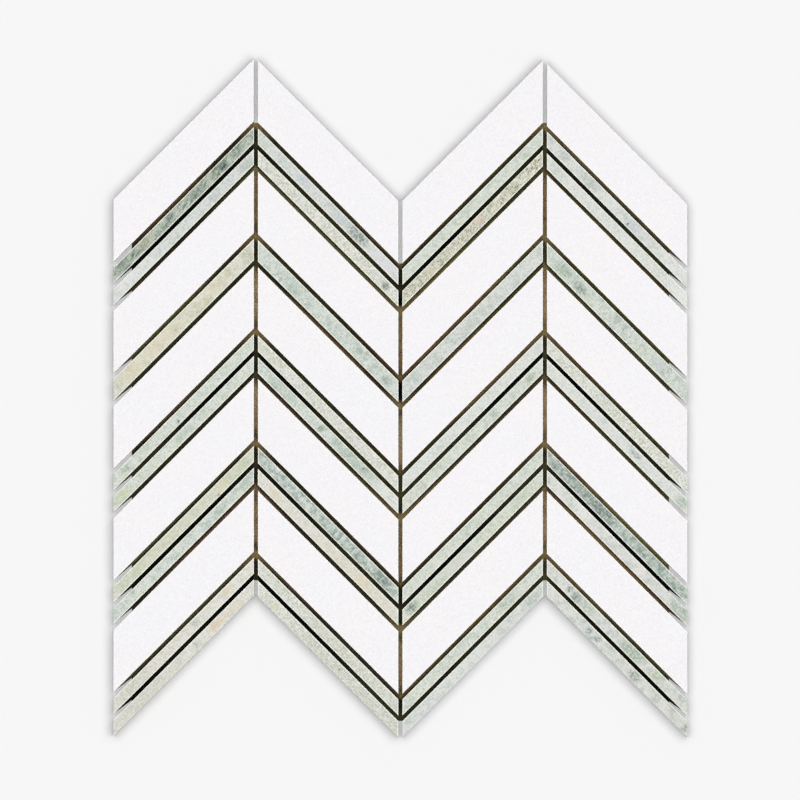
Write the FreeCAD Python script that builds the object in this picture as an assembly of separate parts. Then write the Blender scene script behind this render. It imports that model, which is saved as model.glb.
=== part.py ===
"""Chevron wall tile: a sheet of mitred marble bars and strips on a mesh backing.

The sheet lies flat with its polished faces up and its chevrons pointing along +Y. Lengths are in
millimetres, angles in degrees, and the origin is at the middle of the sheet's underside.
"""

import FreeCAD, Part
import math
import os
from typing import NamedTuple

# Stones. Their widths are square across the slanted edges.
WHITE_BAR_WIDTH = 23.0
GREEN_STRIP_WIDTH = 6.0
WIDE_STRIP_WIDTH = 8.0
STONE_RUN = 73.0  # from one sawn end to the other, straight across the sheet
STONE_DEPTH = 9.2
ARRIS = 0.4  # eased edge round each polished face
SLANT = 45.0  # how steeply every stone climbs

# Open joint between neighbouring stones, square across.
JOINT = 2.0

# Mesh backing. It stops short of the sheet's edges, so that it stays out of the joints with the next sheet.
BACKING_DEPTH = 0.8
BACKING_SIDE_MARGIN = 9.5
BACKING_TOP_MARGIN = 12.0  # square across the slanted top edge
BACKING_BOTTOM_MARGIN = 2.5  # square across the slanted bottom edge


class Column(NamedTuple):
    """How one column was set by hand: its lift up the sheet, and how far its slanted joints close up."""

    lift: float
    closed_up: float


# From left to right. The first column sits a little high, and the last one was set tighter.
COLUMNS = (
    Column(lift=0.7, closed_up=0.0),
    Column(lift=0.0, closed_up=0.0),
    Column(lift=0.0, closed_up=0.0),
    Column(lift=0.0, closed_up=0.1),
)

# The courses of every column, from the top down.
WIDTHS = {
    "white_bar": WHITE_BAR_WIDTH,
    "green_strip": GREEN_STRIP_WIDTH,
    "wide_green_strip": WIDE_STRIP_WIDTH,
}
DOUBLE_BAND = ("green_strip", "green_strip")
SINGLE_BAND = ("wide_green_strip",)
COURSES = (
    *("white_bar", *DOUBLE_BAND),
    *("white_bar", *SINGLE_BAND),
    *("white_bar", *DOUBLE_BAND),
    *("white_bar", *DOUBLE_BAND),
    *("white_bar", *DOUBLE_BAND),
)

# Setting out.
PITCH = STONE_RUN + JOINT
SHEET_WIDTH = len(COLUMNS) * PITCH - JOINT
CLIMB = math.tan(math.radians(SLANT))
ACROSS_TO_UP = 1.0 / math.cos(math.radians(SLANT))


def joint_in(column):
    """Width of the slanted joints of a column."""
    return JOINT - column.closed_up


def column_span(column):
    """Distance square across a column, from its bottom edge to its top edge."""
    stones = sum(WIDTHS[kind] for kind in COURSES)
    return stones + (len(COURSES) - 1) * joint_in(column)


def fall(x):
    """How far a chevron line has come down at x from the peaks, which stand on every other joint."""
    first_peak = STONE_RUN + JOINT / 2.0 - SHEET_WIDTH / 2.0
    past_peak = (x - first_peak) % (2.0 * PITCH)
    return CLIMB * min(past_peak, 2.0 * PITCH - past_peak)


def bottom_peak():
    """Height on the sheet of the bottom line's peaks, which puts the sheet's middle at y = 0."""
    tips = [column.lift + column_span(column) * ACROSS_TO_UP for column in COLUMNS]
    highest = max(tips) - CLIMB * JOINT / 2.0
    lowest = min(column.lift for column in COLUMNS) - CLIMB * (STONE_RUN + JOINT / 2.0)
    return -(highest + lowest) / 2.0


BOTTOM_PEAK = bottom_peak()


def line_y(x, across):
    """Where the chevron line that lies this far across from the bottom edge is at x."""
    return BOTTOM_PEAK + across * ACROSS_TO_UP - fall(x)


def slab(outline, low, depth):
    """A flat solid with this outline of (x, y) corners."""
    corners = [FreeCAD.Vector(x, y, low) for x, y in outline]
    face = Part.Face(Part.makePolygon(corners + corners[:1]))
    return face.extrude(FreeCAD.Vector(0.0, 0.0, depth))


def stone(left, lift, across, width):
    """One sawn parallelogram with a vertical end at each side and its polished face's edges eased."""
    right = left + STONE_RUN
    outline = [
        (left, lift + line_y(left, across)),
        (right, lift + line_y(right, across)),
        (right, lift + line_y(right, across + width)),
        (left, lift + line_y(left, across + width)),
    ]
    blank = slab(outline, BACKING_DEPTH, STONE_DEPTH)
    polished_face = max(blank.Faces, key=lambda face: face.CenterOfMass.z)
    return blank.makeChamfer(ARRIS, polished_face.Edges)


def column_stones(number, column):
    """The named stones of one column, from the top down."""
    left = (number - 1) * PITCH - SHEET_WIDTH / 2.0
    top = column_span(column)
    stones = {}
    for course, kind in enumerate(COURSES):
        width = WIDTHS[kind]
        copies = COURSES.count(kind)
        rank = COURSES[: course + 1].count(kind)
        name = f"col{number}_{kind}_{rank}" if copies > 1 else f"col{number}_{kind}"
        stones[name] = stone(left, column.lift, top - width, width)
        top -= width + joint_in(column)
    return stones


def mesh_backing():
    """The zigzag net under the stones, slit at each upright joint between the end stones."""
    span = min(column_span(column) for column in COLUMNS)
    reach = SHEET_WIDTH / 2.0 - BACKING_SIDE_MARGIN
    joints = [number * PITCH - SHEET_WIDTH / 2.0 - JOINT / 2.0 for number in range(1, len(COLUMNS))]
    turns = [-reach, *joints, reach]
    top_edge = [(x, line_y(x, span - BACKING_TOP_MARGIN)) for x in turns]
    bottom_edge = [(x, line_y(x, BACKING_BOTTOM_MARGIN)) for x in turns]
    net = slab(bottom_edge + top_edge[::-1], 0.0, BACKING_DEPTH)
    for x in joints:
        side = x + JOINT / 2.0
        above = line_y(side, span - WIDTHS[COURSES[0]])
        below = line_y(side, WIDTHS[COURSES[-1]])
        for start, end in ((above, line_y(x, span)), (line_y(x, 0.0), below)):
            corner = FreeCAD.Vector(x - JOINT / 2.0, start, 0.0)
            net = net.cut(Part.makeBox(JOINT, end - start, BACKING_DEPTH, corner))
    return net


def main():
    """Write every piece of the sheet to a file named after it."""
    os.makedirs("parts", exist_ok=True)
    pieces = {"mesh_backing": mesh_backing()}
    for number, column in enumerate(COLUMNS, start=1):
        pieces.update(column_stones(number, column))
    for name, shape in pieces.items():
        shape.exportStep(f"parts/{name}.step")


main()
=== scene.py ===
"""Looks of a chevron wall tile: a mosaic sheet of white and pale green marble on a mesh backing.

Every stone is remade with eased and slightly nicked edges and its own cut of marble, and the backing as a
net of threads set in brown resin. Lengths are in metres, and colours are written as 8-bit sRGB.
"""

import logging
import math
import random
from dataclasses import dataclass
from enum import Enum
from typing import ClassVar

import bmesh
import bpy
from mathutils import Matrix, Vector, geometry, noise


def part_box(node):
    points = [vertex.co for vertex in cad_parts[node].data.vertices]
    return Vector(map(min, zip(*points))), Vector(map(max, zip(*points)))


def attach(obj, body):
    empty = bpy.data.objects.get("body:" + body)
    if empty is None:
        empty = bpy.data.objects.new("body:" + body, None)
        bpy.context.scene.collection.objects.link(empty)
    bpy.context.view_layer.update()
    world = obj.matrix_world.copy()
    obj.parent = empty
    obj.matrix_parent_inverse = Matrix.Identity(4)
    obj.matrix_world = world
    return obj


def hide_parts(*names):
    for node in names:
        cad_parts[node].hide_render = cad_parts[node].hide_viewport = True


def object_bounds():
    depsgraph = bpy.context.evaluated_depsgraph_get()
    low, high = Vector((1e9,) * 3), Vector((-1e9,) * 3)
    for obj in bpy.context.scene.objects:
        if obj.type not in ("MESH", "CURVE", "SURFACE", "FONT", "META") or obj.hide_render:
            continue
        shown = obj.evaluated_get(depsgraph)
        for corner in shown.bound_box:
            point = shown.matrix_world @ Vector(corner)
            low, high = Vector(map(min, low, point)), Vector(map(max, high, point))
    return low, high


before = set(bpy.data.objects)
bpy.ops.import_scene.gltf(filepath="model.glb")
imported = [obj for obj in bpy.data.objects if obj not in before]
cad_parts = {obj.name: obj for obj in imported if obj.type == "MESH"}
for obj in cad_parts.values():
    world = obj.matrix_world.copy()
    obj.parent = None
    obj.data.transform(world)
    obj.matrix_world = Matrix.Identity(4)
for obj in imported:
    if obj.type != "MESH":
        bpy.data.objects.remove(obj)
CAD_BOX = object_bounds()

LOG = logging.getLogger("chevron_tile")

MM = 0.001
BODY = "root"
COLUMNS = (1, 2, 3, 4)
WHITE_BARS = 5
NARROW_STRIPS = 8
STRIPS_ABOVE_WIDE = 2
NUMBERS_TO_A_COLUMN = 20
CLIMB = 1.0  # every stone rises as far as it runs
UP_TO_ACROSS = math.cos(math.atan(CLIMB))
MIDDLE = 0.5  # of a noise, and of a share
ORIGIN = (0.0, 0.0, 0.0)

Colour = tuple[int, int, int]
Shade = tuple[float, float, float, float]
Range = tuple[float, float]
Spread = tuple[float, float, float, float]  # a range, and the range that it is spread over
Point = tuple[float, float]
Place = Vector | tuple[float, float, float]
Socket = bpy.types.NodeSocket
Sockets = dict[str, Socket]
Feed = Socket | float | Shade | Place
Feeds = dict[int | str, Feed]  # by an input's number or name
Tint = Socket | Colour


def linear(colour: Colour) -> Shade:
    """Turn a colour as it is seen into the linear shade that a shader reads.

    Args:
        colour: Red, green and blue as 8-bit sRGB.

    Returns:
        Linear red, green and blue, and an alpha of 1.
    """
    parts = [part / 255.0 for part in colour]
    red, green, blue = (p / 12.92 if p <= 0.04045 else ((p + 0.055) / 1.055) ** 2.4 for p in parts)
    return red, green, blue, 1.0


def raised(mesh: bmesh.types.BMesh, height: float) -> list[bmesh.types.BMVert]:
    """Extrude a flat face upwards.

    Args:
        mesh: A mesh that holds only that face.
        height: How far up it goes.

    Returns:
        The raised points.
    """
    grown = bmesh.ops.extrude_face_region(mesh, geom=mesh.faces[:])["geom"]
    lifted = [part for part in grown if isinstance(part, bmesh.types.BMVert)]
    bmesh.ops.translate(mesh, verts=lifted, vec=(0.0, 0.0, height))
    return lifted


def finished(mesh: bmesh.types.BMesh, name: str) -> bpy.types.Object:
    """Put a finished mesh into the scene.

    Args:
        mesh: The mesh, which is freed.
        name: Name of the object.

    Returns:
        The object.
    """
    data = bpy.data.meshes.new(name)
    mesh.to_mesh(data)
    mesh.free()
    piece = bpy.data.objects.new(name, data)
    bpy.context.scene.collection.objects.link(piece)
    return piece


def stand_in(piece: bpy.types.Object, node: str) -> None:
    """Put a piece in the place of its CAD node.

    Args:
        piece: The piece.
        node: Name of the node.
    """
    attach(piece, BODY)
    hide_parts(node)


class Kind(Enum):
    """What a socket of a shared effect carries."""

    COLOUR = "NodeSocketColor"
    VALUE = "NodeSocketFloat"
    PLACE = "NodeSocketVector"


class Graph:
    """A node tree being wired, with a short call for each kind of node that the finishes use."""

    def __init__(self, tree: bpy.types.NodeTree) -> None:
        """Wire into this tree."""
        self.tree = tree

    def add(self, kind: str, feeds: Feeds | None = None, **settings: object) -> bpy.types.Node:
        """Add a node.

        Args:
            kind: Blender's name of the node's type.
            feeds: What feeds its inputs, by name or number.
            **settings: Properties of the node, by name.

        Returns:
            The new node.
        """
        node = self.tree.nodes.new(kind)
        for name, value in settings.items():
            setattr(node, name, value)
        self.feed(node, feeds or {})
        return node

    def feed(self, node: bpy.types.Node, feeds: Feeds) -> None:
        """Link a node's inputs to other sockets, or give them values of their own.

        Args:
            node: The node to feed.
            feeds: An output socket or a plain value for each input, by name or number.
        """
        for key, value in feeds.items():
            if isinstance(value, Socket):
                self.tree.links.new(value, node.inputs[key])
            else:
                node.inputs[key].default_value = value

    def maths(self, operation: str, first: Feed, second: Feed = 0.0) -> Socket:
        """Work out one value from two, by the name of the sum."""
        return self.add("ShaderNodeMath", {0: first, 1: second}, operation=operation).outputs[0]

    def times(self, first: Feed, second: Feed) -> Socket:
        """Multiply two values."""
        return self.maths("MULTIPLY", first, second)

    def plus(self, first: Feed, second: Feed) -> Socket:
        """Add two values."""
        return self.maths("ADD", first, second)

    def minus(self, first: Feed, second: Feed) -> Socket:
        """Take the second value from the first."""
        return self.maths("SUBTRACT", first, second)

    def blend(self, share: Feed, first: Tint, second: Tint) -> Socket:
        """Blend two colours, each given as a socket or as 8-bit sRGB.

        Args:
            share: Share of the second colour.
            first: First colour.
            second: Second colour.

        Returns:
            The blended colour's socket.
        """
        below, above = (linear(tint) if isinstance(tint, tuple) else tint for tint in (first, second))
        return self.add("ShaderNodeMix", {0: share, 6: below, 7: above}, data_type="RGBA").outputs[2]

    def glaze(self, colour: Tint, *layers: tuple[Feed, Tint]) -> Socket:
        """Lay tints over a colour, one on another.

        Args:
            colour: The colour beneath.
            *layers: Share and tint of each layer, from the lowest up.

        Returns:
            The glazed colour's socket.
        """
        for share, tint in layers:
            colour = self.blend(share, colour, tint)
        return colour

    def choose(self, share: Feed, first: Socket, second: Socket) -> Socket:
        """Mix two shaders, with this share of the second."""
        return self.add("ShaderNodeMixShader", {0: share, 1: first, 2: second}).outputs[0]

    def ramp(self, value: Feed, low: Feed, high: Feed, least: float = 0.0, most: float = 1.0) -> Socket:
        """Spread a value smoothly from one range over another.

        Args:
            value: The value to spread.
            low: Value that gives the least.
            high: Value that gives the most.
            least: Result at and below low.
            most: Result at and above high.

        Returns:
            The result's socket.
        """
        feeds = dict(enumerate((value, low, high, least, most)))
        return self.add("ShaderNodeMapRange", feeds, interpolation_type="SMOOTHSTEP").outputs[0]

    def noise(self, place: Feed, scale: Feed, detail: float = 2.0) -> Socket:
        """Soft noise about one half, with so many waves to each unit of place."""
        feeds = {"Vector": place, "Scale": scale, "Detail": detail}
        return self.add("ShaderNodeTexNoise", feeds).outputs[0]

    def place(self) -> Socket:
        """Where on the object a point lies."""
        return self.add("ShaderNodeTexCoord").outputs["Object"]

    def measured(self, place: Feed, centre: Feed, turn: float, unit: Feed) -> Socket:
        """Measure a place from a centre, along axes turned about the sheet's normal.

        Args:
            place: The place to measure.
            centre: Where to measure from.
            turn: Direction of the first axis from +X, in radians.
            unit: How long one unit of the result is along each turned axis.

        Returns:
            The measured place's socket.
        """
        feeds = {"Vector": place, "Location": centre, "Rotation": (0.0, 0.0, turn), "Scale": unit}
        return self.add("ShaderNodeMapping", feeds, vector_type="TEXTURE").outputs[0]

    def attribute(self, name: str) -> Socket:
        """Read a value that the mesh itself carries."""
        return self.add("ShaderNodeAttribute", attribute_name=name).outputs["Fac"]

    def effect(self, effect: "type[Effect]", **values: Feed) -> Sockets:
        """Place a shared effect in this tree.

        Args:
            effect: The effect to place.
            **values: What feeds its inputs, by name.

        Returns:
            Its output sockets, by name.
        """
        node = self.add("ShaderNodeGroup", values, node_tree=effect.tree())
        return {socket.name: socket for socket in node.outputs}


class Effect:
    """A shading effect that several finishes share, built once as a node group."""

    inputs: ClassVar[dict[str, Kind]] = {}
    outputs: ClassVar[dict[str, Kind]] = {}

    @classmethod
    def tree(cls) -> bpy.types.NodeTree:
        """The effect's node group, made when it is first asked for.

        Returns:
            The node group.
        """
        found = bpy.data.node_groups.get(cls.__name__)
        if found:
            return found
        tree = bpy.data.node_groups.new(cls.__name__, "ShaderNodeTree")
        for direction, sockets in (("INPUT", cls.inputs), ("OUTPUT", cls.outputs)):
            for name, kind in sockets.items():
                tree.interface.new_socket(name, in_out=direction, socket_type=kind.value)
        graph = Graph(tree)
        given = {socket.name: socket for socket in graph.add("NodeGroupInput").outputs}
        graph.add("NodeGroupOutput", cls.wire(graph, given))
        return tree

    @classmethod
    def wire(cls, graph: Graph, given: Sockets) -> Sockets:
        """Wire the effect.

        Args:
            graph: The group's tree.
            given: Sockets of the group's inputs, by name.

        Returns:
            What feeds the group's outputs, by name.
        """
        raise NotImplementedError


class CrystalGrain(Effect):
    """Sugary grain of marble: small crystals of slightly different tone, a few bright and a few dark."""

    inputs = {"Place": Kind.PLACE}
    outputs = {"Grain": Kind.VALUE, "Sparkle": Kind.VALUE, "Freckles": Kind.VALUE}
    CRYSTALS_PER_MM = 1.3
    DUST_PER_MM = 1.5
    CRYSTAL_SHARE = 0.35
    SPARKLING = (0.88, 0.98)
    FRECKLED = (0.62, 0.74)
    FRECKLE_RIM = (0.5, 0.2)

    @classmethod
    def wire(cls, graph: Graph, given: Sockets) -> Sockets:
        """Wire the grain, as Effect.wire says."""
        feeds = {"Vector": given["Place"], "Scale": cls.CRYSTALS_PER_MM}
        crystals = graph.add("ShaderNodeTexVoronoi", feeds).outputs
        tone, bright, dark = graph.add("ShaderNodeSeparateColor", {0: crystals["Color"]}).outputs
        dust = graph.noise(given["Place"], cls.DUST_PER_MM, detail=1.0)
        core = graph.ramp(crystals["Distance"], *cls.FRECKLE_RIM)
        return {
            "Grain": graph.plus(
                graph.times(tone, cls.CRYSTAL_SHARE),
                graph.times(dust, 1.0 - cls.CRYSTAL_SHARE),
            ),
            "Sparkle": graph.ramp(bright, *cls.SPARKLING),
            "Freckles": graph.times(core, graph.ramp(dark, *cls.FRECKLED)),
        }


class StoneClouds(Effect):
    """Slow drifts of tone through a stone, and denser patches where the mineral has gathered."""

    inputs = {"Place": Kind.PLACE, "Fineness": Kind.VALUE}
    outputs = {"Drift": Kind.VALUE, "Veil": Kind.VALUE, "Patches": Kind.VALUE}
    DRIFTS_PER_MM = 0.035
    DRIFTING = (0.32, 0.68)
    VEILS_PER_MM = 0.085
    VEILING = (0.34, 0.66)
    PATCHES_PER_MM = 0.16

    @classmethod
    def wire(cls, graph: Graph, given: Sockets) -> Sockets:
        """Wire the clouds, as Effect.wire says."""
        place = given["Place"]
        fine = graph.times(given["Fineness"], cls.PATCHES_PER_MM)
        return {
            "Drift": graph.ramp(graph.noise(place, cls.DRIFTS_PER_MM, detail=1.0), *cls.DRIFTING),
            "Veil": graph.ramp(graph.noise(place, cls.VEILS_PER_MM), *cls.VEILING),
            "Patches": graph.noise(place, fine, detail=4.0),
        }


class Hatching(Effect):
    """Short streaks that run through the slab, all much the same way."""

    inputs = {"Place": Kind.PLACE}
    outputs = {"Streaks": Kind.VALUE}
    DIRECTION = math.radians(61.0)
    STRETCH = (4.5, 1.0, 1.0)
    STREAKS_PER_MM = 0.62
    STREAKED = (0.5, 0.66)

    @classmethod
    def wire(cls, graph: Graph, given: Sockets) -> Sockets:
        """Wire the streaks, as Effect.wire says."""
        along = graph.measured(given["Place"], ORIGIN, cls.DIRECTION, cls.STRETCH)
        return {"Streaks": graph.ramp(graph.noise(along, cls.STREAKS_PER_MM, detail=1.0), *cls.STREAKED)}


class StainSpot(Effect):
    """A soft blotchy spot at one place on a stone."""

    inputs = {"Place": Kind.PLACE, "Centre": Kind.PLACE, "Reach": Kind.PLACE}
    outputs = {"Mask": Kind.VALUE}
    FADE = (1.35, 0.35)
    BLOTCHES_PER_MM = 0.75
    BLOTCHED = (0.4, 0.6)
    THINNEST = 0.3

    @classmethod
    def wire(cls, graph: Graph, given: Sockets) -> Sockets:
        """Wire the spot, as Effect.wire says."""
        away = graph.measured(given["Place"], given["Centre"], 0.0, given["Reach"])
        length = graph.add("ShaderNodeVectorMath", {0: away}, operation="LENGTH").outputs["Value"]
        blotches = graph.noise(given["Place"], cls.BLOTCHES_PER_MM)
        density = graph.ramp(blotches, *cls.BLOTCHED, cls.THINNEST, 1.0)
        return {"Mask": graph.times(graph.ramp(length, *cls.FADE), density)}


class WorkedEdges(Effect):
    """Worked edges: eased edges painted pale, partly the paler ground stone and partly a painted highlight,
    and the dull sawn sides that the saw leaves.
    """

    inputs = {
        "Colour": Kind.COLOUR,
        "Pale": Kind.COLOUR,
        "Sawn": Kind.COLOUR,
        "Roughness": Kind.VALUE,
        "Place": Kind.PLACE,
    }
    outputs = {"Colour": Kind.COLOUR, "Roughness": Kind.VALUE, "Height": Kind.VALUE}
    SAW_STRETCH = (26.0, 26.0, 1.0)
    SAW_LINES_PER_MM = 0.6
    SAW_POLISH = (0.35, 0.65, 0.15, 0.85)
    SAW_SCORES = (0.6, 0.4, 0.0, 0.12)
    SCORE: Colour = (0, 0, 0)
    SAWN_ROUGHNESS = 0.78

    @classmethod
    def wire(cls, graph: Graph, given: Sockets) -> Sockets:
        """Wire the edges, as Effect.wire says."""
        sawn = graph.attribute("sawn")
        along = graph.measured(given["Place"], ORIGIN, 0.0, cls.SAW_STRETCH)
        lines = graph.noise(along, cls.SAW_LINES_PER_MM)
        sides = graph.glaze(
            given["Sawn"],
            (graph.ramp(lines, *cls.SAW_POLISH), given["Colour"]),
            (graph.ramp(lines, *cls.SAW_SCORES), cls.SCORE),
        )
        # Painted highlight, partly paler ground stone: the eased edges take the pale colour.
        colour = graph.glaze(given["Colour"], (graph.attribute("arris"), given["Pale"]), (sawn, sides))
        honed = graph.times(given["Roughness"], graph.minus(1.0, sawn))
        return {
            "Colour": colour,
            "Roughness": graph.plus(honed, graph.times(sawn, cls.SAWN_ROUGHNESS)),
            "Height": graph.times(sawn, lines),
        }


def new_material(name: str) -> tuple[bpy.types.Material, Graph]:
    """Start a material.

    Args:
        name: Name of the material.

    Returns:
        The material, and its graph.
    """
    material = bpy.data.materials.new(name)
    material.use_nodes = True
    return material, Graph(material.node_tree)


@dataclass(frozen=True)
class Placing:
    """Where a stone lies, how long it is, and how deep in the slab it was cut, for its patterns."""

    centre: Place
    turn: float
    run: float
    slab_depth: float


@dataclass(frozen=True)
class Stain:
    """A spot on a strip. Its place across, from the strip's middle, and its size are in millimetres."""

    along: float  # share of the strip's length, from its left end
    across: float
    length: float
    breadth: float
    colour: Colour
    strength: float


@dataclass(frozen=True)
class MarbleFinish:
    """What every honed marble has in common: its pale eased edges, partly a painted highlight, its sawn
    sides and rough grain.
    """

    # Colour of the eased edges: partly the paler ground stone, partly a painted highlight.
    pale: Colour = (254, 253, 253)
    sawn: Colour = (236, 235, 233)
    grain_range: Range = (0.2, 0.8)
    roughness: Range = (0.36, 0.5)
    bump: float = 0.5
    bump_depth: float = 0.06 * MM

    def start(self, name: str, placing: Placing) -> tuple[bpy.types.Material, Graph, Sockets]:
        """Begin a marble's material with the places that its patterns read.

        Args:
            name: Name of the material.
            placing: Where the stone lies.

        Returns:
            The material, its graph, and two places in millimetres: Sheet, as the sheet lies, and Stone,
            along the stone.
        """
        material, graph = new_material(name)
        place = graph.place()
        places = {}
        for key, turn, depth in (("Sheet", 0.0, placing.slab_depth), ("Stone", placing.turn, 0.0)):
            centre = Vector(placing.centre) - Vector((0.0, 0.0, depth))
            places[key] = graph.measured(place, centre, turn, (MM, MM, MM))
        return material, graph, places

    def dress(self, graph: Graph, colour: Socket, grain: Socket, place: Socket) -> None:
        """Give a marble its worked edges and feed its shader.

        Args:
            graph: The material's graph.
            colour: Colour of the polished stone.
            grain: Grain that its roughness follows.
            place: Where on the sheet.
        """
        worked = graph.effect(
            WorkedEdges,
            Colour=colour,
            Pale=linear(self.pale),
            Sawn=linear(self.sawn),
            Roughness=graph.ramp(grain, *self.grain_range, *self.roughness),
            Place=place,
        )
        relief = {"Height": worked["Height"], "Strength": self.bump, "Distance": self.bump_depth}
        feeds = {
            "Base Color": worked["Colour"],
            "Roughness": worked["Roughness"],
            "Normal": graph.add("ShaderNodeBump", relief).outputs[0],
        }
        graph.feed(graph.tree.nodes["Principled BSDF"], feeds)


@dataclass(frozen=True)
class WhiteMarble(MarbleFinish):
    """Fine white marble with a sugary grain and only a breath of warm and cool in it."""

    body: Colour = (247, 245, 247)
    warm: Colour = (248, 245, 246)
    cool: Colour = (245, 244, 247)
    bright: Colour = (255, 254, 255)
    dim: Colour = (240, 238, 240)
    veiling: Spread = (0.2, 0.9, 0.1, 0.75)
    dimming: Range = (0.52, 0.3)
    sparkling: float = 0.6

    def material(self, name: str, placing: Placing) -> bpy.types.Material:
        """Make the finish for one bar.

        Args:
            name: Name of the material.
            placing: Where the bar lies.

        Returns:
            The material.
        """
        material, graph, places = self.start(name, placing)
        clouds = graph.effect(StoneClouds, Place=places["Sheet"], Fineness=1.0)
        crystals = graph.effect(CrystalGrain, Place=places["Sheet"])
        colour = graph.glaze(
            self.cool,
            (clouds["Drift"], self.warm),
            (graph.ramp(clouds["Veil"], *self.veiling), self.body),
            (graph.ramp(crystals["Grain"], *self.dimming), self.dim),
            (graph.times(crystals["Sparkle"], self.sparkling), self.bright),
        )
        self.dress(graph, colour, crystals["Grain"], places["Sheet"])
        return material


@dataclass(frozen=True)
class GreenMarble(MarbleFinish):
    """Pale green marble as one slab gave it: its tones, and how strongly each of its markings shows."""

    body: Colour = (210, 215, 203)
    light: Colour = (224, 227, 219)
    deep: Colour = (175, 188, 172)
    dots: Colour = (148, 163, 144)
    warm: Colour = (220, 219, 205)
    cool: Colour = (209, 216, 212)
    bright: Colour = (247, 248, 240)
    # Colour of the eased edges: partly the paler ground stone, partly a painted highlight.
    pale: Colour = (253, 254, 250)
    sawn: Colour = (232, 235, 229)
    roughness: Range = (0.34, 0.52)
    warmed: float = 0.35
    cooled: float = 0.35
    veiled: float = 0.5
    patched: float = 0.6
    patch_level: float = 0.58
    patch_width: float = 0.16
    ragged: float = 0.05
    fineness: float = 1.3
    streaked: float = 0.0
    grained: float = 0.75
    grain_swing: float = 0.18
    sparkling: float = 0.25
    freckled: float = 0.25
    strayed: float = 0.25  # share of the freckles that lie outside the patches
    stain_depth: float = 100.0

    def material(self, name: str, placing: Placing, stains: list[Stain]) -> bpy.types.Material:
        """Make the finish for one strip.

        Args:
            name: Name of the material.
            placing: Where the strip lies.
            stains: Spots on this strip.

        Returns:
            The material.
        """
        material, graph, places = self.start(name, placing)
        clouds = graph.effect(StoneClouds, Place=places["Sheet"], Fineness=self.fineness)
        crystals = graph.effect(CrystalGrain, Place=places["Sheet"])
        drift, grain = clouds["Drift"], crystals["Grain"]
        fray = graph.ramp(grain, *self.grain_range, -self.ragged, self.ragged)
        level = self.patch_level - self.patch_width * self.patched
        patches = graph.ramp(graph.plus(clouds["Patches"], fray), level, level + self.patch_width)
        shade = graph.times(patches, self.patched)
        if self.streaked:
            streaks = graph.effect(Hatching, Place=places["Sheet"])["Streaks"]
            shade = graph.plus(shade, graph.times(streaks, self.streaked))
        gathered = graph.ramp(patches, 0.0, 1.0, self.strayed * self.freckled, self.freckled)
        colour = graph.glaze(
            self.body,
            (graph.ramp(drift, MIDDLE, 1.0, 0.0, self.warmed), self.warm),
            (graph.ramp(drift, MIDDLE, 0.0, 0.0, self.cooled), self.cool),
            (graph.times(clouds["Veil"], self.veiled), self.light),
            (shade, self.deep),
            (graph.ramp(grain, MIDDLE, MIDDLE - self.grain_swing, 0.0, self.grained), self.deep),
            (graph.ramp(grain, MIDDLE, MIDDLE + self.grain_swing, 0.0, self.grained), self.light),
            (graph.times(crystals["Sparkle"], self.sparkling), self.bright),
            (graph.times(crystals["Freckles"], gathered), self.dots),
        )
        for stain in stains:
            spot = graph.effect(
                StainSpot,
                Place=places["Stone"],
                Centre=((stain.along - MIDDLE) * placing.run / MM, stain.across, 0.0),
                Reach=(stain.length / 2.0, stain.breadth / 2.0, self.stain_depth),
            )
            colour = graph.blend(graph.times(spot["Mask"], stain.strength), colour, stain.colour)
        self.dress(graph, colour, grain, places["Sheet"])
        return material


class Lot(Enum):
    """The slabs that the green strips were cut from."""

    SAGE = GreenMarble()
    MINT = GreenMarble(
        body=(208, 214, 205), light=(221, 226, 218), deep=(165, 180, 168), dots=(118, 136, 122),
        fineness=1.4, freckled=0.6,
    )
    MIST = GreenMarble(
        body=(213, 215, 210), light=(224, 225, 222), deep=(178, 190, 181), dots=(140, 152, 142),
        warm=(217, 215, 209), cool=(209, 212, 214), fineness=1.4, freckled=0.4,
    )
    FERN = GreenMarble(
        body=(207, 210, 196), light=(222, 225, 213), deep=(174, 189, 166), dots=(138, 154, 128),
        warm=(217, 215, 196), cool=(205, 212, 203), freckled=0.4,
    )
    PALE = GreenMarble(
        body=(219, 221, 215), light=(228, 229, 226), deep=(190, 201, 189), warm=(222, 220, 211),
        cool=(214, 218, 218), patched=0.45,
    )
    SAND = GreenMarble(
        body=(211, 213, 202), light=(228, 228, 220), deep=(182, 187, 170), dots=(156, 158, 136),
        warm=(221, 218, 205), cool=(212, 216, 210), patched=0.3, grained=0.9, sparkling=0.75,
        freckled=0.35,
    )
    IVORY = GreenMarble(
        body=(220, 218, 208), light=(230, 228, 221), deep=(190, 191, 176), dots=(160, 158, 138),
        warm=(223, 216, 199), cool=(215, 217, 211), patched=0.4, grained=0.7, freckled=0.35,
    )
    CREAM = GreenMarble(
        body=(217, 216, 202), light=(228, 227, 217), deep=(184, 187, 160), dots=(150, 148, 112),
        warm=(223, 214, 191), cool=(211, 215, 202), warmed=0.6, grained=0.65, freckled=0.6,
    )
    OLIVE = GreenMarble(
        body=(213, 212, 195), light=(230, 228, 214), deep=(160, 163, 134), dots=(96, 99, 72),
        warm=(221, 212, 190), cool=(210, 214, 201), patched=0.65, fineness=2.6, grained=0.8,
        sparkling=0.6, freckled=2.2,
    )
    SPRUCE = GreenMarble(
        body=(174, 184, 168), light=(206, 211, 198), deep=(94, 110, 96), dots=(66, 82, 74),
        warm=(206, 202, 172), cool=(166, 180, 168), patched=0.4, fineness=1.8, streaked=0.8, grained=0.5,
        sparkling=0.1, freckled=0.8,
    )
    TEAL = GreenMarble(
        body=(196, 205, 196), light=(222, 226, 219), deep=(118, 142, 132), dots=(88, 110, 102),
        cool=(192, 204, 198), patched=0.8, fineness=2.4, grained=0.5, freckled=0.6,
    )
    VEINED = GreenMarble(
        body=(215, 216, 209), light=(230, 229, 226), deep=(154, 173, 158), dots=(98, 116, 106),
        warm=(222, 216, 205), cool=(208, 213, 214), patched=0.55, fineness=1.4, grained=0.4, freckled=0.6,
    )


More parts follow.
